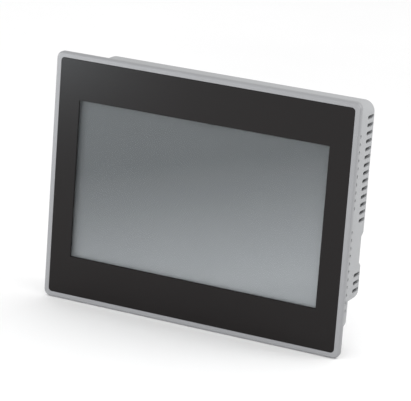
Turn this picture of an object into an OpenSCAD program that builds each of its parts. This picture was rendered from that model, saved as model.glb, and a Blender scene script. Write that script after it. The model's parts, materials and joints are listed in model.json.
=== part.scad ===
// Operator touch panel with a 10.2-inch wide display, made to sit in a cut-out of a cabinet door.
// Origin: centre of the seating plane, where the back of the bezel flange meets the cabinet panel.
// +X is right and +Z is up as the operator sees the screen, and +Y runs back through the panel.

/* [Bezel] */
// Width of the bezel flange
bezel_w = 268.6; // [266:0.2:272]
// Height of the bezel flange
bezel_h = 209.2; // [208:0.2:214]
// Thickness of the flange in front of the cabinet panel
flange_t = 5; // [4.8:0.1:6]
// Radius of the flange's corners
bezel_r = 6; // [4:0.5:9]
// Width of the visible rim around the touch glass
rim = 4.8; // [4.4:0.1:5.5]

/* [Display] */
// Width of the picture area
view_w = 222; // [216:0.5:223]
// Height of the picture area
view_h = 133; // [130:0.5:134]
// Thickness of the touch glass
glass_t = 1.4; // [1:0.1:1.5]

/* [Housing] */
// Width of the housing that passes through the cut-out
housing_w = 259.2; // [258.6:0.1:259.6]
// Height of the top of the housing above the centre
housing_top = 98.3; // [98:0.1:98.8]
// Height of the bottom of the shallow tray, below the centre
tray_bottom = -87; // [-88:0.5:-86.5]
// Depth of the shallow tray behind the seating plane
tray_y = 17; // [17:0.1:17.2]
// Depth of the deep block behind the seating plane
deep_y = 38.4; // [38.4:0.1:40]
// Left side of the deep block
deep_left = -109.3; // [-110:0.1:-108.5]
// Underside of the deep block, where the connectors come out
deep_bottom = -67; // [-67:0.1:-66.8]
// Wall thickness of the rear cover
wall = 2.2; // [2:0.1:2.2]
// Radius of the housing's corners
housing_r = 9; // [7:0.5:10]

/* [Ventilation] */
// Distance between neighbouring slots
vent_pitch = 6.5; // [6:0.1:7]
// Height of a slot
vent_h = 2.9; // [2:0.1:3]
// Length of a slot in the deep block's side
vent_long = 12; // [10:0.5:13]
// Length of a slot near the bezel
vent_short = 8.5; // [6:0.5:8.5]
// Height of the uppermost slot
vent_top = 86.8; // [84:0.2:87]

/* [Rear mounting] */
// Hole spacing of the arm mount on the back
arm_spacing = 75; // [75, 100]
// Radius of the hole in each threaded insert
insert_hole_r = 1.65; // [1.6:0.05:2]

/* [Battery bay] */
// Width of the battery door's opening
bay_w = 36; // [34:0.5:38]
// Height of the battery door's opening
bay_h = 32; // [30:0.5:33]

/* [Hidden] */
$fn = 48;

// How one part stays clear of its neighbour
gap = 0.3;

// Half sizes of the outlines
bezel_x = bezel_w / 2;
bezel_z = bezel_h / 2;
glass_x = bezel_x - rim;
glass_z = bezel_z - rim;
glass_r = 3;
view_x = view_w / 2;
view_z = view_h / 2;
housing_x = housing_w / 2;

// Layers from the front to the back, each named for the face it starts at
front_y = -flange_t;
mask_y = front_y + glass_t;
sensor_y = mask_y + 0.1;
ledge_y = sensor_y + 0.3;
seal_y = sensor_y + 1;
lcd_y = seal_y + 1;
cell_y = lcd_y + 0.4;
film_y = cell_y + 1.4;
guide_y = film_y + 0.4;
shield_y = guide_y + 2.5;
driver_y = shield_y + 1.2;
chassis_y = 6.5;
chassis_t = 1;
board_y = 17;
board_t = 1.6;
parts_y = board_y + board_t;

// Bezel back
collar_y = 3.5;
collar_t = 2;
rib_y = 2.8;
rib_pitch = 22;
rib_count = 5;
groove_depth = 1.2;
groove_in = 0.4;
groove_x = bezel_x - 2;
groove_z = bezel_z - 2;
cover_y = collar_y + 0.2;

// Touch sensor and display module outlines
sensor_x = 118;
sensor_z = 73.5;
window_x = sensor_x + 1;
window_z = sensor_z + 1;
lcd_x = 117.5;
lcd_z = 72.9;
sheet_t = 0.4;

// Screws that hold the rear cover to the bezel: those on the low ledges, and those in a deep well
ledge_x = -122.5;
ledge_screws = [[ledge_x, 88], [ledge_x, 6], [ledge_x, -79], [0, -79], [120, -79]];
well_screws = [[119, 88]];
cover_screw_at = concat(ledge_screws, well_screws);
boss_y = 8;
boss_r = 4;
seat_y = 13.5;
shank_r = 1.5;
head_r = 2.8;
head_t = 2;
well_r = 3.4;

// Screws that hold the chassis to the bezel
chassis_screw_at = [for (x = [-90, 90], z = [-80, 80]) [x, z]];
chassis_x = 114;
chassis_z = 83.8;

// Main board and its spacers
board_box = [-98, 122, -63.5, 56.5];
spacer_at = [[-93, 51.5], [14, 51.5], [108, 51.5], [-93, -58.5], [48, -58.5], [108, -58.5]];

// Connectors along the underside: place across, then width and thickness
power_x = -78;
ethernet_x = -50;
ethernet_w = 16;
ethernet_t = 13.3;
usb_b_x = -28;
usb_b_w = 12;
usb_b_t = 11;
usb_a_x = -8;
usb_a_w = 13.1;
usb_a_t = 5.8;
usb_a_y = parts_y + 0.6;
serial_at = [28, 68];
serial_y = parts_y + 6.3;
post_offset = 12.5;
inner_z = deep_bottom + wall;
mouth_z = deep_bottom - 0.4;

// Processor and its heat sink, and the centre of the arm mount behind them
cpu_t = 1.6;
arm_x = 10;
arm_z = 16;
arm_at = [for (x = [-1, 1], z = [-1, 1]) [arm_x + x * arm_spacing / 2, arm_z + z * arm_spacing / 2]];
insert_r = 2.8;
insert_len = 7;

// Recess at the right of the back, with the settings switches in its floor
recess_left = 97.6;
recess_y = deep_y - 4.9;
recess_top = -10;
recess_low = -36;
recess_slope = 2;
switch_z = (recess_top + recess_low) / 2 + 0.5;
dip_x = 107;
reset_x = 120.5;
switch_board_y = 26;
switch_top_y = switch_board_y + board_t;
dip_y = recess_y - 1.1;
dip_pitch = 2.54;
dip_travel = 1.8;
lever_z = 2.3;

// Earth screw on the ledge beside the power socket
earth_x = -119;
earth_z = -58;

// Battery bay and its door
bay_x = -81;
bay_z = -30;
bay_left = bay_x - bay_w / 2;
bay_right = bay_x + bay_w / 2;
bay_low = bay_z - bay_h / 2;
bay_high = bay_z + bay_h / 2;
bay_floor_y = 24.5;
knuckle_r = 1.4;
door_t = 2;
hinge_x = bay_left + 0.5 + knuckle_r;
hinge_y = deep_y - knuckle_r;
pin_r = 0.6;

// Power socket, its plug, and the centre line of the plug's poles
socket_skin = 1.2;
plug_w = 15;
plug_t = 9;
socket_w = plug_w + 3;
socket_t = plug_t + 3;
plug_front_y = parts_y + 1.5;
plug_back_y = plug_front_y + plug_t;
plug_y = parts_y + 5.5;
plug_low = deep_bottom - 11;
clamp_z = plug_low + 5.5;
pole_pitch = 5.08;
pole_at = [for (i = [-1 : 1]) power_x + i * pole_pitch];

// ---------- shared shapes ----------

// Extrudes an X-Z drawing from y0 back to y1
module upright(y0, y1) {
  translate([0, y1, 0]) rotate([90, 0, 0]) linear_extrude(y1 - y0) children();
}

// Extrudes a Y-Z drawing from x0 across to x1
module sideways(x0, x1) {
  translate([x0, 0, 0]) rotate([90, 0, 90]) linear_extrude(x1 - x0) children();
}

// Extrudes an X-Y drawing from z0 up to z1
module vertical(z0, z1) {
  translate([0, 0, z0]) linear_extrude(z1 - z0) children();
}

// Rectangle between two corners, with round corners of radius r
module outline(x0, x1, z0, z1, r) {
  translate([x0 + r, z0]) square([x1 - x0 - 2 * r, z1 - z0]);
  translate([x0, z0 + r]) square([x1 - x0, z1 - z0 - 2 * r]);
  for (x = [x0 + r, x1 - r], z = [z0 + r, z1 - r]) translate([x, z]) circle(r);
}

// The same about the centre, from half sizes
module centred(x, z, r) {
  outline(-x, x, -z, z, r);
}

// Plain box from y0 to y1 about a point of the X-Z plane
module block(x, z, w, h, y0, y1) {
  translate([x - w / 2, y0, z - h / 2]) cube([w, y1 - y0, h]);
}

// Round bar along Y about a point of the X-Z plane
module bar(x, z, r, y0, y1) {
  translate([x, y1, z]) rotate([90, 0, 0]) cylinder(h = y1 - y0, r = r);
}

// Slot with round ends, centred on a point, long along the drawing's first axis
module slot(a, b, length, height) {
  translate([a - length / 2 + height / 2, b - height / 2]) square([length - height, height]);
  for (side = [-1, 1]) translate([a + side * (length - height) / 2, b]) circle(height / 2, $fn = 24);
}

// Strip of even thickness along a path in the Y-Z plane
module ribbon(path, thick) {
  for (i = [0 : len(path) - 2]) {
    run = path[i + 1] - path[i];
    translate(path[i]) rotate(atan2(run[1], run[0])) translate([0, -thick / 2]) square([norm(run), thick]);
  }
  for (i = [1 : len(path) - 2]) translate(path[i]) circle(thick / 2, $fn = 24);
}

// Pan-head screw along Y, driven from the back, with a cross recess
module screw(x, z, seat, length, r, head) {
  difference() {
    union() {
      bar(x, z, r, seat - length, seat);
      bar(x, z, head, seat, seat + head_t);
    }
    block(x, z, head * 1.2, 0.7, seat + head_t - 1.2, seat + head_t + 1);
    block(x, z, 0.7, head * 1.2, seat + head_t - 1.2, seat + head_t + 1);
  }
}

// ---------- front: bezel, glass, touch sensor ----------

module front_bezel() {
  color("silver") difference() {
    union() {
      upright(front_y, 0) centred(bezel_x, bezel_z, bezel_r);
      upright(-0.5, collar_y) difference() {
        centred(housing_x, housing_top, housing_r);
        centred(housing_x - collar_t, housing_top - collar_t, housing_r - collar_t);
      }
      block(0, tray_bottom + 1, 2 * (housing_x - 1), 2, -0.5, collar_y);
      for (i = [-rib_count : rib_count])
        block(i * rib_pitch, (tray_bottom - housing_top) / 2, 1.5, housing_top + tray_bottom, -0.5, rib_y);
      for (p = cover_screw_at) bar(p[0], p[1], boss_r, -0.5, boss_y);
      for (p = chassis_screw_at) bar(p[0], p[1], 3.5, -0.5, chassis_y);
    }
    upright(front_y - 1, ledge_y) centred(glass_x + gap / 2, glass_z + gap / 2, glass_r);
    upright(front_y, 1) centred(window_x, window_z, 2);
    upright(-groove_depth, 0.4) difference() {
      centred(groove_x, groove_z, bezel_r - 2);
      centred(housing_x + groove_in, housing_top + groove_in, housing_r);
    }
    for (p = cover_screw_at) bar(p[0], p[1], shank_r, 1, boss_y + 1);
    for (p = chassis_screw_at) bar(p[0], p[1], shank_r, 0.5, chassis_y + 1);
  }
}

module touch_glass() {
  color("lightcyan", 0.4) upright(front_y, mask_y) centred(glass_x, glass_z, glass_r);
}

// Black layer printed on the back of the glass, open at the picture
module border_mask() {
  color("#232121") upright(mask_y, sensor_y) difference() {
    centred(glass_x - 0.2, glass_z - 0.2, glass_r);
    centred(view_x, view_z, 0.5);
  }
}

// Adhesive ring that bonds the glass to the bezel's ledge
module glass_tape() {
  color("dimgray") upright(sensor_y, ledge_y) difference() {
    centred(glass_x - 0.8, glass_z - 0.8, glass_r);
    centred(window_x + 1, window_z + 1, 2);
  }
}

module touch_sensor() {
  color("azure", 0.4) upright(sensor_y, seal_y) centred(sensor_x, sensor_z, 1);
}

// Flexible tail from the sensor's lower edge to the main board
module touch_tail() {
  tail_x = -36;
  down_z = -sensor_z - 0.2;
  color("peru") sideways(tail_x - 6, tail_x + 6)
    ribbon([[sensor_y + 0.5, down_z], [12, down_z], [12, -62], [16, -60], [16, -57]], 0.3);
}

// Foam ring between the touch sensor and the display module
module dust_seal() {
  color("#333333") upright(seal_y, lcd_y) difference() {
    centred(lcd_x - 0.5, lcd_z - 0.5, 1);
    centred(view_x + 2, view_z + 2, 1);
  }
}

// Cabinet seal in the groove behind the flange, flush with the seating plane when pressed
module panel_gasket() {
  color("#2b2b2b") upright(-groove_depth, 0) difference() {
    centred(groove_x - 0.2, groove_z - 0.2, bezel_r - 2);
    centred(housing_x + groove_in + 0.2, housing_top + groove_in + 0.2, housing_r);
  }
}

// ---------- display module ----------

// Thin steel frame around the display, open at the picture and at the back
module lcd_front_frame() {
  color("lightgray") difference() {
    upright(lcd_y, driver_y) centred(lcd_x, lcd_z, 1);
    upright(cell_y, driver_y + 1) centred(lcd_x - sheet_t, lcd_z - sheet_t, 0.6);
    upright(lcd_y - 1, cell_y + 1) centred(view_x + 1.5, view_z + 1.5, 0.5);
  }
}

module lcd_cell() {
  color("#7d8184") upright(cell_y, film_y) centred(lcd_x - 2, lcd_z - 2.5, 0.5);
}

module diffuser_film() {
  color("white") upright(film_y, guide_y) centred(lcd_x - 1.5, lcd_z - 2, 0.5);
}

module light_guide() {
  color("ghostwhite", 0.7) block(0, 1.2, 2 * lcd_x - 3, 2 * lcd_z - 6, guide_y, shield_y);
}

// Strip of lamps that feeds the light guide's lower edge
module led_bar() {
  lamp_pitch = 9;
  lamps = 23;
  strip_z = -lcd_z + 2;
  color("khaki") {
    block(0, strip_z - 0.6, 2 * lcd_x - 10, 1, guide_y + 0.2, shield_y);
    for (i = [0 : lamps - 1])
      block((i - (lamps - 1) / 2) * lamp_pitch, strip_z + 0.5, 3, 1.2, guide_y + 0.5, shield_y - 0.2);
  }
}

module lcd_rear_frame() {
  color("whitesmoke") upright(shield_y, driver_y) centred(lcd_x - 0.6, lcd_z - 0.6, 0.5);
}

module lcd_driver_board() {
  color("darkgreen") {
    block(0, -61, 200, 18, driver_y, driver_y + 1);
    for (x = [-70, -25, 20]) block(x, -61, 14, 8, driver_y + 1, driver_y + 1.9);
  }
}

// Foam pads between the display module and the chassis
module lcd_pads() {
  color("dimgray") for (x = [-95, 95], z = [-35, 55]) block(x, z, 20, 12, driver_y, chassis_y);
}

module display_flex() {
  flex_x = 53;
  start_y = driver_y + 1.2;
  color("peru") sideways(flex_x - 12, flex_x + 12)
    ribbon([[start_y, -58], [start_y, -46], [16, -46], [16, -42.5]], 0.3);
}

// ---------- chassis and main board ----------

// Folded steel plate that carries the display on one side and the main board on the other
module chassis_plate() {
  fold = 5;
  back_y = chassis_y + chassis_t;
  color("gainsboro") difference() {
    union() {
      upright(chassis_y, back_y) centred(chassis_x, chassis_z, 2);
      for (side = [-1, 1])
        block(side * (chassis_x - chassis_t / 2), 0, chassis_t, 2 * chassis_z - 20, chassis_y, back_y + fold);
    }
    for (p = chassis_screw_at) bar(p[0], p[1], shank_r + 0.2, chassis_y - 1, back_y + 1);
    bar(0, -79, boss_r + 1.2, chassis_y - 1, back_y + 1);
    block(0, -84, 2 * boss_r + 2.4, 10, chassis_y - 1, back_y + 1);
    block(-36, -73.7, 20, 4.4, chassis_y - 1, back_y + 1);
    block(53, -46, 30, 4, chassis_y - 1, back_y + 1);
  }
}

module chassis_screws() {
  color("silver") for (p = chassis_screw_at)
    screw(p[0], p[1], chassis_y + chassis_t, 6, shank_r, head_r);
}

// Hexagonal spacers between the chassis and the main board
module board_spacers() {
  color("goldenrod") for (p = spacer_at) difference() {
    translate([p[0], board_y, p[1]]) rotate([90, 0, 0])
      cylinder(h = board_y - chassis_y - chassis_t, r = 3.2, $fn = 6);
    bar(p[0], p[1], shank_r, board_y - 6, board_y + 1);
  }
}

module main_board() {
  color("seagreen") difference() {
    upright(board_y, parts_y) outline(board_box[0], board_box[1], board_box[2], board_box[3], 2);
    for (p = spacer_at) bar(p[0], p[1], shank_r + 0.1, board_y - 1, parts_y + 1);
  }
}

module board_screws() {
  color("silver") for (p = spacer_at) screw(p[0], p[1], parts_y, 7, shank_r, head_r);
}

// Sockets for the two flexible cables, on the front of the main board
module flex_sockets() {
  color("ivory") {
    block(53, -40, 28, 5, board_y - 2, board_y);
    block(-36, -54.5, 15, 5, board_y - 2, board_y);
  }
}

module processor() {
  color("#303030") block(arm_x, arm_z, 19, 19, parts_y, parts_y + cpu_t);
}

module heat_sink() {
  base_y = parts_y + cpu_t;
  size = 40;
  fins = 10;
  fin_pitch = (size - 2) / (fins - 1);
  color("gainsboro") {
    block(arm_x, arm_z, size, size, base_y, base_y + 2);
    for (i = [0 : fins - 1])
      block(arm_x + (i - (fins - 1) / 2) * fin_pitch, arm_z, 1.2, size, base_y + 2, base_y + 7);
  }
}

module memory_chips() {
  color("#303030") for (i = [0 : 2]) block(-24, 30 - i * 14, 12, 10, parts_y, parts_y + 1.2);
}

// Line drivers behind the connectors, and the power controller
module interface_chips() {
  color("#303030") for (p = [[28, -38], [68, -38], [-50, -34], [-60, 8]])
    block(p[0], p[1], 10, 6, parts_y, parts_y + 1.6);
}

module capacitors() {
  color("silver") for (i = [0 : 3]) bar(-86 + i * 10, 40, 4, parts_y, parts_y + 10.5);
}

module inductors() {
  color("#404040") for (x = [-84, -66]) block(x, 20, 12, 12, parts_y, parts_y + 6);
}

module buzzer() {
  color("#202020") difference() {
    bar(66, 34, 6, parts_y, parts_y + 7);
    bar(66, 34, 1, parts_y + 5, parts_y + 8);
  }
}

// ---------- connectors on the underside ----------

// Box shell with its mouth facing down
module down_shell(x, y0, w, t, depth, skin) {
  difference() {
    translate([x - w / 2, y0, mouth_z]) cube([w, t, depth]);
    translate([x - w / 2 + skin, y0 + skin, mouth_z - 1]) cube([w - 2 * skin, t - 2 * skin, depth - 1]);
  }
}

module power_socket() {
  color("seagreen") down_shell(power_x, parts_y, socket_w, socket_t, 13, socket_skin);
}

// Three square pins in the power socket, which the plug slides onto
module power_pins() {
  pin = 1;
  long = 8;
  color("silver") for (x = pole_at)
    translate([x - pin / 2, plug_y - pin / 2, mouth_z + 11 - long]) cube([pin, pin, long]);
}

// Pluggable terminal block with a clamp for each wire
module terminal_plug() {
  top_z = deep_bottom + 7;
  color("mediumseagreen") difference() {
    translate([power_x - plug_w / 2, plug_front_y, plug_low]) cube([plug_w, plug_t, top_z - plug_low]);
    for (x = pole_at) {
      translate([x - 1, plug_y - 1, top_z - 8]) cube([2, 2, 9]);
      translate([x - 1.6, plug_y - 1.8, plug_low - 1]) cube([3.2, 3.6, 5]);
      bar(x, clamp_z, 2, plug_back_y - 4, plug_back_y + 1);
    }
  }
}

module clamp_screws() {
  head_y = plug_back_y - 0.6;
  color("silver") for (x = pole_at) difference() {
    bar(x, clamp_z, 1.9, head_y - 3.2, head_y);
    block(x, clamp_z, 5, 0.6, head_y - 0.8, head_y + 1);
  }
}

// Shielded network jack with its contact block at the back of the mouth
module ethernet_port() {
  depth = 21;
  color("silver") difference() {
    translate([ethernet_x - ethernet_w / 2, parts_y, mouth_z]) cube([ethernet_w, ethernet_t, depth]);
    translate([ethernet_x - 5.9, parts_y + 2, mouth_z - 1]) cube([11.8, 8.2, 14]);
    translate([ethernet_x - 3.1, parts_y + 9, mouth_z - 1]) cube([6.2, 2.8, 10]);
  }
}

module usb_host_port() {
  color("silver") {
    down_shell(usb_a_x, usb_a_y, usb_a_w, usb_a_t, 14, 0.4);
    translate([usb_a_x - 5.6, usb_a_y + 3, mouth_z + 0.6]) cube([11.2, 1.8, 12.5]);
  }
}

module usb_client_port() {
  color("silver") {
    down_shell(usb_b_x, parts_y, usb_b_w, usb_b_t, 16, 1.6);
    translate([usb_b_x - 2.8, parts_y + 4, mouth_z + 1]) cube([5.6, 3, 14.5]);
  }
}

// D-shaped outline of a nine-way serial shell, wide side towards the back
module d_outline(w, t, r) {
  lean = t * tan(10);
  polygon([[-w / 2 + lean, -t / 2], [w / 2 - lean, -t / 2], [w / 2, t / 2 - r], [w / 2 - r, t / 2],
           [-w / 2 + r, t / 2], [-w / 2, t / 2 - r]]);
}

// Nine-way serial connector: shell through the wall, flange inside it, and body on the board
module serial_port(x) {
  shell_w = 16.9;
  shell_t = 8.4;
  color("silver") difference() {
    union() {
      translate([x - 15.4, parts_y, inner_z]) cube([30.8, 12.5, 1]);
      translate([x - 9.6, parts_y, inner_z + 0.5]) cube([19.2, 12.5, 11]);
      translate([x, serial_y, inner_z - 5.8]) linear_extrude(6) d_outline(shell_w, shell_t, 1);
    }
    translate([x, serial_y, inner_z - 6]) linear_extrude(5) d_outline(shell_w - 1, shell_t - 1, 1);
    for (side = [-1, 1])
      translate([x + side * post_offset, serial_y, inner_z - 1]) cylinder(h = 3, r = 1.6);
  }
  color("#202020") for (i = [0 : 8]) {
    row = i < 5 ? 1 : -1;
    column = i < 5 ? i - 2 : i - 6.5;
    translate([x + column * 2.76, serial_y + row * 1.42, inner_z - 5])
      cylinder(h = 5.2, r = 0.5, $fn = 16);
  }
}

module serial_port_a() {
  serial_port(serial_at[0]);
}

module serial_port_b() {
  serial_port(serial_at[1]);
}

// Hexagonal posts beside each serial connector, for the cable's locking screws
module jack_screws() {
  color("goldenrod") for (x = serial_at, side = [-1, 1])
    translate([x + side * post_offset, serial_y, deep_bottom]) difference() {
      union() {
        translate([0, 0, -4.5]) cylinder(h = 4.5, r = 2.7, $fn = 6);
        translate([0, 0, -0.5]) cylinder(h = wall + 4, r = 1.5);
      }
      translate([0, 0, -5]) cylinder(h = 4.5, r = 1.2);
    }
}

// ---------- settings switches in the rear recess ----------

module switch_spacers() {
  color("goldenrod") for (p = [[101.6, -13], [101.6, -33], [118, -33]])
    bar(p[0], p[1], 2, parts_y, switch_board_y);
}

module switch_board() {
  color("seagreen") upright(switch_board_y, switch_top_y) outline(99.2, 126, -35.6, -10.6, 1);
}

module dip_switch_body() {
  color("firebrick") difference() {
    block(dip_x, switch_z, 11.6, 9.8, switch_top_y, dip_y);
    for (i = [0 : 3])
      block(dip_x + (i - 1.5) * dip_pitch, switch_z, 1.5, lever_z + dip_travel + 0.4, dip_y - 1.4, dip_y + 1);
  }
}

module dip_lever(i) {
  color("white")
    block(dip_x + (i - 2.5) * dip_pitch, switch_z - dip_travel / 2, 1.2, lever_z, dip_y - 1.3, dip_y + 0.8);
}

module dip_lever_1() {
  dip_lever(1);
}

module dip_lever_2() {
  dip_lever(2);
}

module dip_lever_3() {
  dip_lever(3);
}

module dip_lever_4() {
  dip_lever(4);
}

module reset_switch() {
  color("#404040") difference() {
    block(reset_x, switch_z, 6, 6, switch_top_y, switch_top_y + 3.5);
    bar(reset_x, switch_z, 1.9, switch_top_y + 0.5, switch_top_y + 4);
  }
}

module reset_button() {
  color("#202020") bar(reset_x, switch_z, 1.6, switch_top_y + 1.2, recess_y - 0.4);
}

// ---------- battery ----------

module battery_holder() {
  color("#2a2a2a") difference() {
    bar(bay_x, bay_z, 11.8, parts_y, parts_y + 4.4);
    bar(bay_x, bay_z, 10.2, parts_y + 0.8, parts_y + 5);
    block(bay_x + 11, bay_z, 8, 9, parts_y + 0.8, parts_y + 5);
  }
}

module coin_cell() {
  color("silver") {
    bar(bay_x, bay_z, 8.5, parts_y + 0.8, parts_y + 1.1);
    bar(bay_x, bay_z, 10, parts_y + 1, parts_y + 4);
  }
}

// Door flush with the back of the cover, turning on a pin along its left edge
module battery_door() {
  top_z = bay_high - gap;
  low_z = bay_low + gap;
  color("gainsboro") difference() {
    union() {
      vertical(low_z, top_z) {
        translate([hinge_x, hinge_y]) circle(knuckle_r);
        translate([hinge_x, deep_y - door_t]) square([bay_right - gap - hinge_x, door_t]);
      }
      block(bay_right - 8, bay_z, 1.2, bay_h - 10, deep_y - door_t - 2, deep_y - door_t + 0.5);
    }
    translate([hinge_x, hinge_y, low_z - 1]) cylinder(h = bay_h + 2, r = pin_r + 0.05);
    for (i = [0 : 3]) block(bay_right - 3.4 - i * 1.6, bay_z, 0.8, 14, deep_y - 0.6, deep_y + 1);
  }
}

module door_pin() {
  color("silver") translate([hinge_x, hinge_y, bay_low - 1.8]) cylinder(h = bay_h + 3.6, r = pin_r);
}

// ---------- rear cover ----------

// Y-Z section of the recess, grown by the wall thickness for its inner skin
module recess_section(skin) {
  high = recess_top + skin;
  low = recess_low - skin;
  back = deep_y + (skin > 0 ? 0 : 2);
  polygon([[recess_y - skin, high - recess_slope], [deep_y, high + recess_slope], [back, high + recess_slope],
           [back, low - recess_slope], [deep_y, low - recess_slope], [recess_y - skin, low + recess_slope]]);
}

// Space inside the cover, without the recess
module cover_cavity() {
  inner_x = housing_x - wall;
  inner_top = housing_top - wall;
  difference() {
    union() {
      upright(cover_y - 1, tray_y - wall)
        outline(-inner_x, inner_x, tray_bottom + wall, inner_top, housing_r - wall);
      upright(cover_y - 1, deep_y - wall)
        outline(deep_left + wall, inner_x, deep_bottom + wall, inner_top, housing_r - wall);
    }
    sideways(recess_left - wall, housing_x) recess_section(wall);
  }
}

// Slots in both sides, in two rows, leaving the recess's height free
module vents() {
  long_y = 30.3;
  short_y = 9.2;
  skipped = [14, 19];
  long_rows = [for (i = [0 : 22]) if (i < skipped[0] || i > skipped[1]) i];
  short_rows = [for (i = [2 : 24]) if (i != 12 && i != 13) i];
  sideways(housing_x - wall - 1, housing_x + 1) {
    for (i = long_rows) slot(long_y, vent_top - i * vent_pitch, vent_long, vent_h);
    for (i = short_rows) slot(short_y, vent_top - i * vent_pitch, vent_short, vent_h);
  }
  sideways(deep_left - 1, deep_left + wall + 1)
    for (i = long_rows) slot(long_y, vent_top - i * vent_pitch, vent_long, vent_h);
  sideways(-housing_x - 1, wall + 1 - housing_x)
    for (i = short_rows) slot(short_y, vent_top - i * vent_pitch, vent_short, vent_h);
}

// Openings in the underside of the deep block for the connectors
module connector_openings() {
  clear = 0.2;
  // Width, thickness, place across and front face of each square connector
  square_ones = [
    [socket_w, socket_t, power_x, parts_y], [ethernet_w, ethernet_t, ethernet_x, parts_y],
    [usb_b_w, usb_b_t, usb_b_x, parts_y], [usb_a_w, usb_a_t, usb_a_x, usb_a_y]
  ];
  vertical(deep_bottom - 1, inner_z + 0.5) {
    for (c = square_ones) translate([c[2] - c[0] / 2 - clear, c[3] - clear])
      square([c[0] + 2 * clear, c[1] + 2 * clear]);
    for (x = serial_at) translate([x, serial_y]) {
      d_outline(17.7, 9.2, 1);
      for (side = [-1, 1]) translate([side * post_offset, 0]) circle(1.7);
    }
  }
}

module rear_cover() {
  color("gainsboro") difference() {
    union() {
      difference() {
        union() {
          upright(cover_y, tray_y) outline(-housing_x, housing_x, tray_bottom, housing_top, housing_r);
          upright(cover_y, deep_y) outline(deep_left, housing_x, deep_bottom, housing_top, housing_r);
        }
        cover_cavity();
        vents();
      }
      for (p = ledge_screws) bar(p[0], p[1], boss_r + 0.2, boss_y, tray_y - 0.5);
      for (p = well_screws) bar(p[0], p[1], well_r + 1.6, boss_y, deep_y - 0.5);
      for (p = arm_at) bar(p[0], p[1], insert_r + 2, deep_y - insert_len - 1, deep_y - 0.5);
      upright(bay_floor_y, deep_y - 0.5)
        outline(bay_left - 2, bay_right + 2, bay_low - 2, bay_high + 2, 1);
    }
    sideways(recess_left, housing_x + 1) recess_section(0);
    for (p = ledge_screws) bar(p[0], p[1], well_r, seat_y, tray_y + 1);
    for (p = well_screws) bar(p[0], p[1], well_r, seat_y, deep_y + 1);
    for (p = cover_screw_at) bar(p[0], p[1], shank_r + 0.2, boss_y - 1, seat_y + 1);
    for (p = arm_at) bar(p[0], p[1], insert_r, deep_y - insert_len, deep_y + 1);
    block(bay_x, bay_z, bay_w, bay_h, bay_floor_y - 1, deep_y + 1);
    translate([hinge_x, hinge_y, bay_low - 1.8]) cylinder(h = bay_h + 3.6, r = pin_r);
    block(dip_x, switch_z, 12.4, 10.6, recess_y - wall - 1, recess_y + 1);
    bar(reset_x, switch_z, 2.1, recess_y - wall - 1, recess_y + 1);
    bar(earth_x, earth_z, shank_r, tray_y - wall - 1, tray_y + 1);
    connector_openings();
  }
}

// Brass inserts for the arm mount
module mount_inserts() {
  color("goldenrod") for (p = arm_at) difference() {
    bar(p[0], p[1], insert_r, deep_y - insert_len, deep_y);
    bar(p[0], p[1], insert_hole_r, deep_y - insert_len + 0.5, deep_y + 1);
  }
}

module cover_screws() {
  color("silver") for (p = cover_screw_at) screw(p[0], p[1], seat_y, 12, shank_r, head_r);
}

// Screw and washer for the earth wire, beside the power socket
module earth_screw() {
  washer_t = 0.8;
  color("goldenrod") {
    bar(earth_x, earth_z, 4.5, tray_y, tray_y + washer_t);
    screw(earth_x, earth_z, tray_y + washer_t, 4.5, shank_r, 3.4);
  }
}

// Blank plate where the ratings would be printed
module rating_plate() {
  color("white") upright(deep_y, deep_y + 0.3) outline(-98, -40, 6, 44, 2);
}

front_bezel();
touch_glass();
border_mask();
glass_tape();
touch_sensor();
touch_tail();
dust_seal();
panel_gasket();
lcd_front_frame();
lcd_cell();
diffuser_film();
light_guide();
led_bar();
lcd_rear_frame();
lcd_driver_board();
lcd_pads();
display_flex();
chassis_plate();
chassis_screws();
board_spacers();
main_board();
board_screws();
flex_sockets();
processor();
heat_sink();
memory_chips();
interface_chips();
capacitors();
inductors();
buzzer();
power_socket();
power_pins();
terminal_plug();
clamp_screws();
ethernet_port();
usb_host_port();
usb_client_port();
serial_port_a();
serial_port_b();
jack_screws();
switch_spacers();
switch_board();
dip_switch_body();
dip_lever_1();
dip_lever_2();
dip_lever_3();
dip_lever_4();
reset_switch();
reset_button();
battery_holder();
coin_cell();
rear_cover();
mount_inserts();
cover_screws();
battery_door();
door_pin();
earth_screw();
rating_plate();
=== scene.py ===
import json
import math

import bmesh
import bpy
from mathutils import Matrix, Vector

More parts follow.
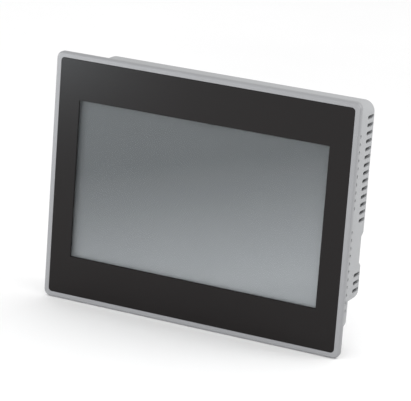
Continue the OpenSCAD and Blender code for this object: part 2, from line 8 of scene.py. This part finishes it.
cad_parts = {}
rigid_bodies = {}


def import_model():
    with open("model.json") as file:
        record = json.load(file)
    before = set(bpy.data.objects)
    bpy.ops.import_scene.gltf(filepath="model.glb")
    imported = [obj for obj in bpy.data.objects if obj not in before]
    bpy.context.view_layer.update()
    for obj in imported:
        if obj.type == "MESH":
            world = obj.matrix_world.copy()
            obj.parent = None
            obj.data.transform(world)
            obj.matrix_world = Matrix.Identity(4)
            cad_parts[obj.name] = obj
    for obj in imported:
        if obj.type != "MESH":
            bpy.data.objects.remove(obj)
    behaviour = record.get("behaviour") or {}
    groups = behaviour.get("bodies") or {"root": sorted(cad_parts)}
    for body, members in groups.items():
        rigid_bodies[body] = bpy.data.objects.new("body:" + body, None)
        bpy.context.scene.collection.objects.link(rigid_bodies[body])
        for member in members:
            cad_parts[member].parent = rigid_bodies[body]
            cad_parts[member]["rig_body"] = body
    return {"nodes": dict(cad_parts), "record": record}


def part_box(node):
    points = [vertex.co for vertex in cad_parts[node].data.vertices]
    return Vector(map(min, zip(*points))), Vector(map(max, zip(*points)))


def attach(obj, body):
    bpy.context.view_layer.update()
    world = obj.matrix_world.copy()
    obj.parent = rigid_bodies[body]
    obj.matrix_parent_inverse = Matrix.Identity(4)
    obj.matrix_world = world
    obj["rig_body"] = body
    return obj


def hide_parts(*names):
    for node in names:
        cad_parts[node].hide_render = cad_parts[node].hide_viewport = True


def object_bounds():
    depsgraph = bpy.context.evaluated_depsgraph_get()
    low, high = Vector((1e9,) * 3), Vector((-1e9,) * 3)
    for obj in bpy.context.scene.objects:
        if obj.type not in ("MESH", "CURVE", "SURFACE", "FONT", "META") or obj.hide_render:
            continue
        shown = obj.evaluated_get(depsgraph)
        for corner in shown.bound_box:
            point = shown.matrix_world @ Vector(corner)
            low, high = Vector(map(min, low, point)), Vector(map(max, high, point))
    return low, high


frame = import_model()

cad_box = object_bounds()
nodes = frame["nodes"]
slots = {part["node"]: part["material_slot"] for part in frame["record"]["subparts"]}
scene = bpy.context.scene
MM = 0.001


# ---------- shader nodes ----------

def add(tree, kind, **values):
    """A new shader node. Keys in lower case are its settings, the others are its inputs."""
    made = tree.nodes.new("ShaderNode" + kind)
    for key, value in values.items():
        if key[0].islower():
            setattr(made, key, value)
        elif isinstance(value, bpy.types.NodeSocket):
            tree.links.new(value, made.inputs[key.replace("_", " ")])
        else:
            made.inputs[key.replace("_", " ")].default_value = value
    return made


def maths(tree, operation, *values):
    """The output of a Math node."""
    made = tree.nodes.new("ShaderNodeMath")
    made.operation = operation
    for socket, value in zip(made.inputs, values):
        if isinstance(value, bpy.types.NodeSocket):
            tree.links.new(value, socket)
        else:
            socket.default_value = value
    return made.outputs[0]


def noise(tree, place, scale, detail):
    return add(tree, "TexNoise", Vector=place, Scale=scale, Detail=detail).outputs[0]


def spread_out(tree, value, low, high):
    """Takes the middle of a noise to a range from low to high."""
    made = add(tree, "MapRange", Value=value, From_Min=0.3, From_Max=0.7, To_Min=low, To_Max=high)
    return made.outputs[0]


def ramp(tree, value, stops):
    """Colours along a value: stops are (position, (r, g, b))."""
    made = add(tree, "ValToRGB", Fac=value)
    bar = made.color_ramp
    while len(bar.elements) < len(stops):
        bar.elements.new(0.5)
    for element, (position, colour) in zip(bar.elements, stops):
        element.position = position
        element.color = (*colour, 1.0)
    return made.outputs[0]


def start(name, **sockets):
    """A material, its node tree, its Principled shader and its object coordinates."""
    made = bpy.data.materials.new(name)
    made.use_nodes = True
    tree = made.node_tree
    shader = tree.nodes["Principled BSDF"]
    for key, value in sockets.items():
        shader.inputs[key.replace("_", " ")].default_value = value
    place = add(tree, "TexCoord").outputs["Object"]
    return made, tree, shader, place


def feed(tree, shader, **values):
    """Links node outputs to the shader's inputs."""
    for key, value in values.items():
        tree.links.new(value, shader.inputs[key.replace("_", " ")])


# ---------- materials ----------

# Anti-glare glass, as seen on the border and over the display
GLASS_IOR, GLASS_ROUGH = 1.34, 0.24


def scaled(colour, factor):
    return tuple(min(channel * factor, 1.0) for channel in colour)


def surface(name, colour, roughness, varied=0.05, uneven=0.06, grain=1600.0, relief=0.0,
            stretch=(1.0, 1.0, 1.0), **sockets):
    """Soft patches of colour, and a fine grain in gloss and relief. varied and uneven say how far
    colour and roughness go either way; grain is a noise scale; relief is in mm; stretch draws the
    grain out along the axes with small values."""
    made, tree, shader, place = start(name, **sockets)
    cloud = noise(tree, place, 22.0, 5.0)
    drawn = add(tree, "Mapping", Vector=place, Scale=stretch).outputs[0]
    fine = noise(tree, drawn, grain, 3.0)
    mixed = maths(tree, "MULTIPLY_ADD", cloud, 0.4, maths(tree, "MULTIPLY", fine, 0.6))
    feed(tree, shader,
         Base_Color=ramp(tree, cloud, [
             (0.3, scaled(colour, 1 - varied)), (0.7, scaled(colour, 1 + varied))]),
         Roughness=spread_out(tree, mixed, roughness - uneven, roughness + uneven))
    if relief:
        bump = add(tree, "Bump", Strength=1.0, Distance=relief * MM, Height=fine)
        feed(tree, shader, Normal=bump.outputs[0])
    return made


def printed_border():
    """Anti-glare glass over black print: a faint even mirror on near black."""
    made, tree, shader, place = start("border_glass", IOR=GLASS_IOR)
    cloud = noise(tree, place, 9.0, 2.0)
    feed(tree, shader,
         Base_Color=ramp(tree, cloud, [(0.3, (0.0028, 0.0016, 0.0016)), (0.7, (0.0034, 0.002, 0.002))]),
         Roughness=spread_out(tree, cloud, GLASS_ROUGH - 0.01, GLASS_ROUGH + 0.01))
    return made


def clear(name, colour, share):
    """A clear inner layer, of which a small share is seen."""
    made, tree, shader, place = start(name, Roughness=0.1)
    cloud = noise(tree, place, 14.0, 2.0)
    feed(tree, shader,
         Base_Color=ramp(tree, cloud, [(0.3, scaled(colour, 0.94)), (0.7, colour)]),
         Alpha=spread_out(tree, cloud, share * 0.8, share * 1.2))
    return made


def unlit_display():
    """Switched-off display: the grey of its polariser, with a painted reflection on it that grows paler
    towards the lower right.
    """
    made, tree, shader, place = start("lcd_grey", Roughness=GLASS_ROUGH, IOR=GLASS_IOR)
    # The slant below is a painted reflection fixed to the display: darker towards the upper left and paler
    # towards the lower right
    along = add(tree, "VectorMath", operation="DOT_PRODUCT")
    tree.links.new(place, along.inputs[0])
    along.inputs[1].default_value = (0.26, 0.0, -1.0)
    length = add(tree, "MapRange", Value=along.outputs["Value"], From_Min=-35 * MM, From_Max=66 * MM)
    grey = ramp(tree, length.outputs[0], [
        (0.0, (0.097, 0.105, 0.111)), (0.35, (0.146, 0.157, 0.164)),
        (0.65, (0.204, 0.217, 0.227)), (1.0, (0.268, 0.284, 0.296))])
    cloud = noise(tree, place, 18.0, 2.0)
    shade = ramp(tree, cloud, [(0.35, (0.7, 0.7, 0.7)), (0.65, (1.0, 1.0, 1.0))])
    mottled = add(tree, "MixRGB", blend_type="MULTIPLY", Fac=0.04, Color1=grey, Color2=shade)
    feed(tree, shader, Base_Color=mottled.outputs[0])
    return made


def circuit_board():
    """Green solder mask with paler tracks under it and small round gold pads."""
    track_spacing, track_width, pad_radius = 0.12, 0.035, 0.13
    pale_green, pad_gold = (0.035, 0.22, 0.1, 1.0), (0.62, 0.45, 0.2, 1.0)
    made, tree, shader, place = start("board_green", Coat_Weight=0.3, Coat_Roughness=0.15)
    flat = add(tree, "Mapping", Vector=place, Scale=(1.0, 0.0, 1.0)).outputs[0]
    cells = add(tree, "TexVoronoi", Vector=flat, Scale=260.0, distance="CHEBYCHEV", feature="F1").outputs[0]
    tracks = maths(tree, "LESS_THAN", maths(tree, "PINGPONG", cells, track_spacing), track_width)
    dots = add(tree, "TexVoronoi", Vector=flat, Scale=330.0, feature="F1").outputs[0]
    pad = maths(tree, "LESS_THAN", dots, pad_radius)
    cloud = noise(tree, flat, 60.0, 3.0)
    mask = ramp(tree, cloud, [(0.35, (0.012, 0.105, 0.045)), (0.65, (0.018, 0.14, 0.06))])
    tracked = add(tree, "MixRGB", Fac=tracks, Color1=mask, Color2=pale_green).outputs[0]
    feed(tree, shader,
         Base_Color=add(tree, "MixRGB", Fac=pad, Color1=tracked, Color2=pad_gold).outputs[0],
         Roughness=maths(tree, "MULTIPLY_ADD", pad, -0.12, 0.36),
         Metallic=pad,
         Normal=add(tree, "Bump", Strength=0.6, Distance=0.04 * MM, Height=tracks).outputs[0])
    return made


def blank_label():
    """Pale foil plate with ruled lines and a border, and nothing written in them."""
    border_inset, border_half, rule_half = 2.2 * MM, 0.16 * MM, 0.12 * MM
    row_height, column_x = 5.6 * MM, -9 * MM
    ink_colour = (0.16, 0.165, 0.17, 1.0)
    made, tree, shader, place = start("label", Roughness=0.42, Specular_IOR_Level=0.4)
    x, _, z = add(tree, "SeparateXYZ", Vector=place).outputs
    low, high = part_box("rating_plate")
    middle, half = (low + high) / 2, (high - low) / 2
    across = maths(tree, "ABSOLUTE", maths(tree, "SUBTRACT", x, middle.x))
    upward = maths(tree, "ABSOLUTE", maths(tree, "SUBTRACT", z, middle.z))
    edge = maths(tree, "MINIMUM", maths(tree, "SUBTRACT", half.x, across),
                 maths(tree, "SUBTRACT", half.z, upward))
    border = maths(tree, "COMPARE", edge, border_inset, border_half)
    inside = maths(tree, "GREATER_THAN", edge, border_inset)
    row = maths(tree, "PINGPONG", maths(tree, "SUBTRACT", z, low.z + border_inset), row_height / 2)
    column = maths(tree, "COMPARE", x, middle.x + column_x, rule_half)
    rules = maths(tree, "MAXIMUM", maths(tree, "LESS_THAN", row, rule_half), column)
    ink = maths(tree, "MAXIMUM", border, maths(tree, "MULTIPLY", rules, inside))
    cloud = noise(tree, place, 50.0, 3.0)
    foil = ramp(tree, cloud, [(0.3, (0.66, 0.67, 0.68)), (0.7, (0.72, 0.73, 0.74))])
    feed(tree, shader, Base_Color=add(tree, "MixRGB", Fac=ink, Color1=foil, Color2=ink_colour).outputs[0])
    return made


def metal(name, colour, roughness, stretch):
    """Bare metal, brushed along the axes in which stretch is small."""
    return surface(name, colour, roughness, varied=0.06, uneven=0.07, grain=500.0, relief=0.004,
                   stretch=stretch, Metallic=1.0)


def moulded(name, colour, roughness):
    """Smooth moulded plastic."""
    return surface(name, colour, roughness, varied=0.04, uneven=0.05, grain=900.0, relief=0.004)


ALONG_X, ALONG_Z = (0.06, 1.0, 1.0), (1.0, 1.0, 0.05)
TURNED = (1.0, 0.1, 1.0)

# One for each material slot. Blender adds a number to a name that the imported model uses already.
looks = {look.name.split(".")[0]: look for look in (
    surface("bezel_plastic", (0.255, 0.258, 0.267), 0.40, varied=0.02, uneven=0.05, grain=2400.0,
            relief=0.012, Metallic=0.15),
    surface("housing_plastic", (0.325, 0.331, 0.339), 0.46, varied=0.025, grain=1700.0, relief=0.02),
    clear("cover_glass", (0.7, 0.74, 0.72), 0.004),
    surface("black_ink", (0.0030, 0.0018, 0.0018), 0.5, varied=0.1, grain=700.0),
    surface("adhesive", (0.02, 0.02, 0.02), 0.7, grain=900.0, relief=0.03),
    clear("sensor_glass", (0.8, 0.86, 0.86), 0.003),
    surface("amber_film", (0.42, 0.16, 0.025), 0.32, varied=0.12, grain=300.0, relief=0.01,
            stretch=(1.0, 0.2, 0.2)),
    surface("foam", (0.018, 0.018, 0.019), 0.9, varied=0.2, grain=1500.0, relief=0.1),
    surface("gasket_rubber", (0.017, 0.017, 0.018), 0.62, varied=0.12, grain=1200.0, relief=0.03),
    metal("plated_sheet", (0.58, 0.59, 0.60), 0.34, ALONG_X),
    unlit_display(),
    surface("white_film", (0.82, 0.82, 0.80), 0.55, grain=800.0),
    clear("acrylic", (0.9, 0.93, 0.93), 0.35),
    surface("lamp_strip", (0.78, 0.66, 0.33), 0.4, varied=0.1, grain=400.0),
    moulded("white_plastic", (0.72, 0.71, 0.68), 0.4),
    circuit_board(),
    metal("screw_steel", (0.55, 0.56, 0.58), 0.28, TURNED),
    metal("brass", (0.60, 0.40, 0.14), 0.27, TURNED),
    surface("chip_black", (0.018, 0.018, 0.020), 0.55, varied=0.1, grain=1800.0, relief=0.02),
    metal("aluminium", (0.66, 0.67, 0.68), 0.36, ALONG_Z),
    metal("capacitor_can", (0.62, 0.63, 0.65), 0.3, (1.0, 0.08, 1.0)),
    surface("ferrite", (0.035, 0.035, 0.04), 0.75, varied=0.15, grain=1200.0, relief=0.04),
    moulded("black_plastic", (0.015, 0.015, 0.016), 0.42),
    moulded("green_plastic", (0.03, 0.24, 0.075), 0.42),
    metal("nickel_shell", (0.62, 0.61, 0.58), 0.22, (1.0, 1.0, 0.08)),
    moulded("switch_red", (0.36, 0.016, 0.012), 0.36),
    metal("cell_steel", (0.62, 0.62, 0.61), 0.2, (1.0, 0.1, 0.12)),
    blank_label(),
)}
border_glass = printed_border()
contact_gold = metal("contact_gold", (0.83, 0.60, 0.25), 0.2, (1.0, 1.0, 0.1))
lamp_green = moulded("lamp_green", (0.10, 0.42, 0.12), 0.25)
lamp_amber = moulded("lamp_amber", (0.62, 0.30, 0.03), 0.25)

for name, node in nodes.items():
    node.data.materials.clear()
    node.data.materials.append(looks[slots[name]])


# ---------- CAD nodes with rounded edges ----------

# An edge that folds less than this is part of a curved face
SHARP = math.radians(25)
# Corners closer than this are one corner, and faces that lean less than this are one face
JOINED, FLAT = 0.002 * MM, 0.01
FINE_STEPS = 2


def as_object(name, shape, materials):
    """A scene object with a shape's mesh."""
    mesh = bpy.data.meshes.new(name)
    shape.to_mesh(mesh)
    shape.free()
    for material in materials:
        mesh.materials.append(material)
    piece = bpy.data.objects.new(name, mesh)
    scene.collection.objects.link(piece)
    return piece


def whole_faces(name):
    """A CAD node's mesh with its split corners joined and each flat face in one."""
    shape = bmesh.new()
    shape.from_mesh(nodes[name].data)
    bmesh.ops.remove_doubles(shape, verts=shape.verts, dist=JOINED)
    bmesh.ops.dissolve_limit(shape, angle_limit=FLAT, verts=shape.verts, edges=shape.edges)
    return shape


def divide(shape, chosen, point, normal):
    """Divides the faces that pass a test along a plane through a point, in mm."""
    faces = [face for face in shape.faces if chosen(face)]
    parts = dict.fromkeys(part for face in faces for part in (face, *face.edges, *face.verts))
    bmesh.ops.bisect_plane(shape, geom=list(parts), dist=0.001 * MM, plane_co=Vector(point) * MM,
                           plane_no=normal)


def mark_edges(shape, rounds):
    """Gives each outer edge to the first round whose test it passes, and keeps inner corners sharp."""
    layers = [shape.edges.layers.float.new(f"round_{i}") for i in range(len(rounds))]
    for edge in shape.edges:
        if len(edge.link_faces) != 2 or edge.calc_face_angle() < SHARP:
            continue
        if not edge.is_convex:
            edge.smooth = False
            continue
        ends = [corner.co / MM for corner in edge.verts]
        chosen = next(layer for layer, (_, _, test) in zip(layers, rounds) if test(*ends))
        edge[chosen] = 1.0


def remake(name, fine, wide=(), paint=(), cuts=()):
    """Stands a copy with rounded edges in for a CAD node. fine is the usual radius in mm; wide holds
    (radius, steps, test of an edge's two ends) for rounder edges; paint holds (material, test of a
    face's centre and normal) for the faces of another material; cuts holds (test of a face, point and
    normal of a plane that divides such faces)."""
    shape = whole_faces(name)
    for cut in cuts:
        divide(shape, *cut)
    rounds = [*wide, (fine, FINE_STEPS, lambda a, b: True)]
    mark_edges(shape, rounds)
    for face in shape.faces:
        face.smooth = True
        for i, (_, test) in enumerate(paint):
            if test(face.calc_center_median() / MM, face.normal):
                face.material_index = i + 1
    piece = as_object(name + "_finished", shape, [looks[slots[name]], *(look for look, _ in paint)])
    for i, (radius, steps, _) in enumerate(rounds):
        bevel = piece.modifiers.new(f"round_{i}", "BEVEL")
        bevel.limit_method = "WEIGHT"
        bevel.edge_weight = f"round_{i}"
        bevel.width = radius * MM
        bevel.segments = steps
        bevel.use_clamp_overlap = False
    even = piece.modifiers.new("even_normals", "WEIGHTED_NORMAL")
    even.mode = "FACE_AREA"
    even.weight = 100
    even.keep_sharp = True
    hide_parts(name)
    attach(piece, nodes[name]["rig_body"])


def on_outline(low, high, radius, y):
    """A test of an edge: both ends on a rounded rectangle's outline, at depth y. All in mm."""
    middle, half = (low + high) / 2, (high - low) / 2

    def off(point):
        x = abs(point.x - middle.x) - half.x + radius
        z = abs(point.z - middle.z) - half.z + radius
        return math.hypot(max(x, 0), max(z, 0)) + min(max(x, z), 0) - radius

    def test(a, b):
        return all(abs(p.y - y) < 0.02 and abs(off(p)) < 0.05 for p in (a, b))

    return test


FLANGE_R, HOUSING_R = 6.0, 9.0
FLANGE_BACK_Y, TRAY_BACK_Y = 0.0, 17.0
BLOCK_LEFT, BLOCK_BOTTOM = -109.3, -67.0
# The clear part of the touch glass, half its width and height
WINDOW_X, WINDOW_Z = 111.0, 66.5

flange_low, flange_high = (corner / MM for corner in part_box("front_bezel"))
tray_low, cover_high = (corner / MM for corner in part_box("rear_cover"))
block_low = Vector((BLOCK_LEFT, 0, BLOCK_BOTTOM))


def on_border(centre, normal):
    """A test of a face of the touch glass: at its edge, or in front and outside the window."""
    in_window = normal.y < -0.5 and abs(centre.x) < WINDOW_X and abs(centre.z) < WINDOW_Z
    return normal.y < 0.5 and not in_window


def in_front(face):
    return face.normal.y < -0.5


remake("front_bezel", fine=0.25, wide=[
    (2.0, 6, on_outline(flange_low, flange_high, FLANGE_R, flange_low.y)),
    (0.8, 3, on_outline(flange_low, flange_high, FLANGE_R, FLANGE_BACK_Y)),
])
remake("rear_cover", fine=0.3, wide=[
    (2.0, 5, on_outline(block_low, cover_high, HOUSING_R, cover_high.y)),
    (1.2, 4, on_outline(tray_low, cover_high, HOUSING_R, TRAY_BACK_Y)),
])
remake("touch_glass", fine=0.2, paint=[(border_glass, on_border)], cuts=[
    (in_front, (side * WINDOW_X, 0, side * WINDOW_Z), axis)
    for side in (-1, 1) for axis in ((1, 0, 0), (0, 0, 1))])

edge_radii = {
    "battery_door": 0.25, "panel_gasket": 0.25, "cover_screws": 0.25, "mount_inserts": 0.2,
    "earth_screw": 0.2, "terminal_plug": 0.2, "power_socket": 0.15, "clamp_screws": 0.1,
    "ethernet_port": 0.2, "jack_screws": 0.2, "dip_switch_body": 0.12, "dip_lever_1": 0.12,
    "dip_lever_2": 0.12, "dip_lever_3": 0.12, "dip_lever_4": 0.12, "reset_button": 0.2,
    "reset_switch": 0.15, "rating_plate": 0.1, "capacitors": 0.5, "heat_sink": 0.15, "inductors": 0.6,
    "buzzer": 0.4, "battery_holder": 0.2, "coin_cell": 0.25,
}
for name, radius in edge_radii.items():
    remake(name, fine=radius)


# ---------- connectors: tongues, insulators, contacts and lamps ----------

# Heights of the ports' mouths and of the inner face of the housing's underside
MOUTH_Z, INNER_Z = -67.4, -64.8
HOST_X, CLIENT_X, NETWORK_X = -8.0, -28.0, -50.0
SERIAL_X = {"serial_port_a": 28.0, "serial_port_b": 68.0}
SERIAL_Y = 24.9
PIN_PITCH, PIN_ROW = 2.76, 1.42
BLADE_PITCH = 1.02
LAMP_OFFSET = 5.8


def on_tongue(middle_x, half_width, front, back, top):
    """A test of a face: on the tongue in a port, whose hollow ends at height top. All in mm."""
    spare = 0.1

    def test(centre, normal):
        beside = abs(centre.x - middle_x) < half_width + spare
        return beside and front - spare < centre.y < back + spare and centre.z < top

    return test


def serial_paint(middle_x):
    """Gold pins, five at the back and four in front, with black insulation round and behind them."""
    floor_z, flange_top = INNER_Z - 1, INNER_Z + 1
    pin_reach, spare = 0.6, 0.1
    five = [Vector((middle_x + i * PIN_PITCH, SERIAL_Y + PIN_ROW)) for i in (-2, -1, 0, 1, 2)]
    four = [Vector((middle_x + i * PIN_PITCH, SERIAL_Y - PIN_ROW)) for i in (-1.5, -0.5, 0.5, 1.5)]

    def on_pin(centre, normal):
        near = any((centre.xy - pin).length < pin_reach for pin in five + four)
        return near and centre.z < floor_z - spare / 2

    def on_insulator(centre, normal):
        in_hollow = abs(centre.z - floor_z) < spare and normal.z < -0.9
        return in_hollow or centre.z > flange_top + spare

    return [(contact_gold, on_pin), (looks["black_plastic"], on_insulator)]


def close(shape, rings):
    """Faces between rings of corners, and one on each end."""
    shape.faces.new(rings[0])
    shape.faces.new(rings[-1])
    for a, b in zip(rings, rings[1:]):
        for i in range(len(a)):
            j = (i + 1) % len(a)
            shape.faces.new((a[i], a[j], b[j], b[i]))


def detail(name, shape, look, slot):
    """A piece that the CAD doesn't have, which rides on the panel."""
    piece = as_object(name, shape, [look])
    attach(piece, "panel")


def contacts(name, paths, width, thick):
    """Bent strips in one piece. Each path lists (x, y, z) along a strip's middle, at one x. In mm."""
    shape = bmesh.new()
    side = Vector((1, 0, 0))
    for path in paths:
        points = [Vector(point) for point in path]
        rings = []
        for before, point, after in zip([points[0], *points], points, [*points[1:], points[-1]]):
            across = side * width / 2
            off = (after - before).normalized().cross(side) * thick / 2
            corners = (across + off, off - across, -across - off, across - off)
            rings.append([shape.verts.new((point + corner) * MM) for corner in corners])
        close(shape, rings)
    bmesh.ops.recalc_face_normals(shape, faces=shape.faces)
    bmesh.ops.bevel(shape, geom=shape.edges, offset=thick * 0.2 * MM, segments=2, affect="EDGES")
    detail(name, shape, contact_gold, "brass")


def lamp_window(name, x, look, slot):
    """A lamp's window: a domed pad with rounded corners, let into the network port's face."""
    y, half_width, half_depth = 30.2, 1.5, 0.9
    corner_r, corner_steps = 0.45, 4
    # How far each ring of corners lies inside the outline, and below the face
    dome = ((0.0, -0.1), (0.0, 0.06), (0.08, 0.12), (0.3, 0.16), (0.6, 0.17))
    shape = bmesh.new()
    rings = []
    for inset, drop in dome:
        radius = max(corner_r - inset, 0.05)
        ring = []
        for quarter, (side_x, side_y) in enumerate(((1, 1), (-1, 1), (-1, -1), (1, -1))):
            for step in range(corner_steps + 1):
                turn = math.radians(90) * (quarter + step / corner_steps)
                px = x + side_x * (half_width - inset - radius) + radius * math.cos(turn)
                py = y + side_y * (half_depth - inset - radius) + radius * math.sin(turn)
                ring.append(shape.verts.new(Vector((px, py, MOUTH_Z - drop)) * MM))
        rings.append(ring)
    close(shape, rings)
    bmesh.ops.recalc_face_normals(shape, faces=shape.faces)
    for face in shape.faces:
        face.smooth = True
    detail(name, shape, look, slot)


remake("usb_host_port", fine=0.12, paint=[
    (looks["white_plastic"], on_tongue(HOST_X, half_width=5.6, front=22.2, back=24.0, top=-56.0))])
remake("usb_client_port", fine=0.3, paint=[
    (looks["black_plastic"], on_tongue(CLIENT_X, half_width=2.8, front=22.6, back=25.6, top=-53.0))])
for name, middle_x in SERIAL_X.items():
    remake(name, fine=0.15, paint=serial_paint(middle_x))

# Each contact's bends are its (y, z) in turn
blade_bends = ((20.9, -66.4), (21.0, -65.6), (21.6, -64.2), (23.4, -58.0), (23.6, -54.3))
blade_xs = [NETWORK_X + (i - 3.5) * BLADE_PITCH for i in range(8)]
contacts("network_contacts", [[(x, y, z) for y, z in blade_bends] for x in blade_xs],
         width=0.46, thick=0.3)

host_bends = ((22.3, -66.2), (22.14, -65.6), (22.14, -56.0))
host_xs = [HOST_X + x for x in (-3.5, -1.0, 1.0, 3.5)]
contacts("host_contacts", [[(x, y, z) for y, z in host_bends] for x in host_xs],
         width=1.0, thick=0.2)

client_ys = (22.58, 25.62)
client_xs = [CLIENT_X + x for x in (-1.25, 1.25)]
contacts("client_contacts", [[(x, y, z) for z in (-65.9, -54.0)] for x in client_xs for y in client_ys],
         width=0.9, thick=0.2)

lamp_window("network_lamp_green", NETWORK_X - LAMP_OFFSET, lamp_green, "green_plastic")
lamp_window("network_lamp_amber", NETWORK_X + LAMP_OFFSET, lamp_amber, "amber_film")


# ---------- stage, light and camera ----------

def floor(z, reach):
    """A wide sheet of pale paper at height z."""
    made, tree, shader, place = start("floor_paper", Roughness=0.9, Specular_IOR_Level=0.1)
    cloud = noise(tree, place, 3.0, 2.0)
    feed(tree, shader, Base_Color=ramp(tree, cloud, [(0.3, (0.93, 0.93, 0.93)), (0.7, (0.95, 0.95, 0.95))]))
    shape = bmesh.new()
    corners = ((-reach, -reach), (reach, -reach), (reach, reach), (-reach, reach))
    shape.faces.new([shape.verts.new((x, y, z)) for x, y in corners])
    as_object("floor", shape, [made])


def softbox(name, place, aim, size, power, colour=(1.0, 1.0, 1.0)):
    """A soft rectangular light that the camera doesn't see."""
    lamp = bpy.data.lights.new(name, "AREA")
    lamp.shape = "RECTANGLE"
    lamp.size, lamp.size_y = size
    lamp.energy = power
    lamp.color = colour
    piece = bpy.data.objects.new(name, lamp)
    scene.collection.objects.link(piece)
    piece.location = place
    piece.rotation_euler = (Vector(aim) - Vector(place)).to_track_quat("-Z", "Y").to_euler()
    piece.visible_camera = False


floor(cad_box[0].z - 0.2 * MM, reach=8.0)

world = bpy.data.worlds.new("studio")
scene.world = world
world.use_nodes = True
sky = world.node_tree.nodes["Background"]
sky.inputs["Color"].default_value = (1.0, 1.0, 1.0, 1.0)
sky.inputs["Strength"].default_value = 1.02
scene.view_settings.view_transform = "Standard"

softbox("top_softbox", (0.1, 0.1, 1.6), (0, 0, 0), (1.4, 1.4), 0.8)
softbox("right_softbox", (0.36, 0.08, 0.30), (0.13, 0.02, 0.06), (0.16, 0.2), 0.45)
softbox("front_softbox", (0.5, -2.0, 0.3), (0, 0, 0), (1.3, 1.0), 13.4)
softbox("left_softbox", (-1.3, -0.9, 0.1), (0, 0, -0.05), (0.6, 0.3), 7.0)
# A small light whose mirror image is the pale patch at the glass's upper left
softbox("left_glow", (-0.58, -0.79, -0.04), (-0.12, 0, 0.09), (0.14, 0.12), 0.43, (0.86, 0.95, 1.0))

# The camera looks from the right and above, with a slight roll
CAMERA_AT = (0.7848, -1.6898, 0.5122)
azimuth, elevation, roll = (math.radians(angle) for angle in (24.74, 15.33, -4.24))
ahead = Vector((-math.sin(azimuth) * math.cos(elevation), math.cos(azimuth) * math.cos(elevation),
                -math.sin(elevation)))
level_up = (Vector((0, 0, 1)) - ahead * ahead.z).normalized()
level_right = ahead.cross(level_up)
up = level_up * math.cos(roll) + level_right * math.sin(roll)
right = ahead.cross(up)

lens = bpy.data.cameras.new("camera")
lens.sensor_fit = "HORIZONTAL"
lens.sensor_width = 36.0
lens.lens = 210.2
lens.clip_end = 50.0
camera = bpy.data.objects.new("camera", lens)
camera.matrix_world = Matrix.Translation(CAMERA_AT) @ Matrix((right, up, -ahead)).transposed().to_4x4()
scene.collection.objects.link(camera)
scene.camera = camera
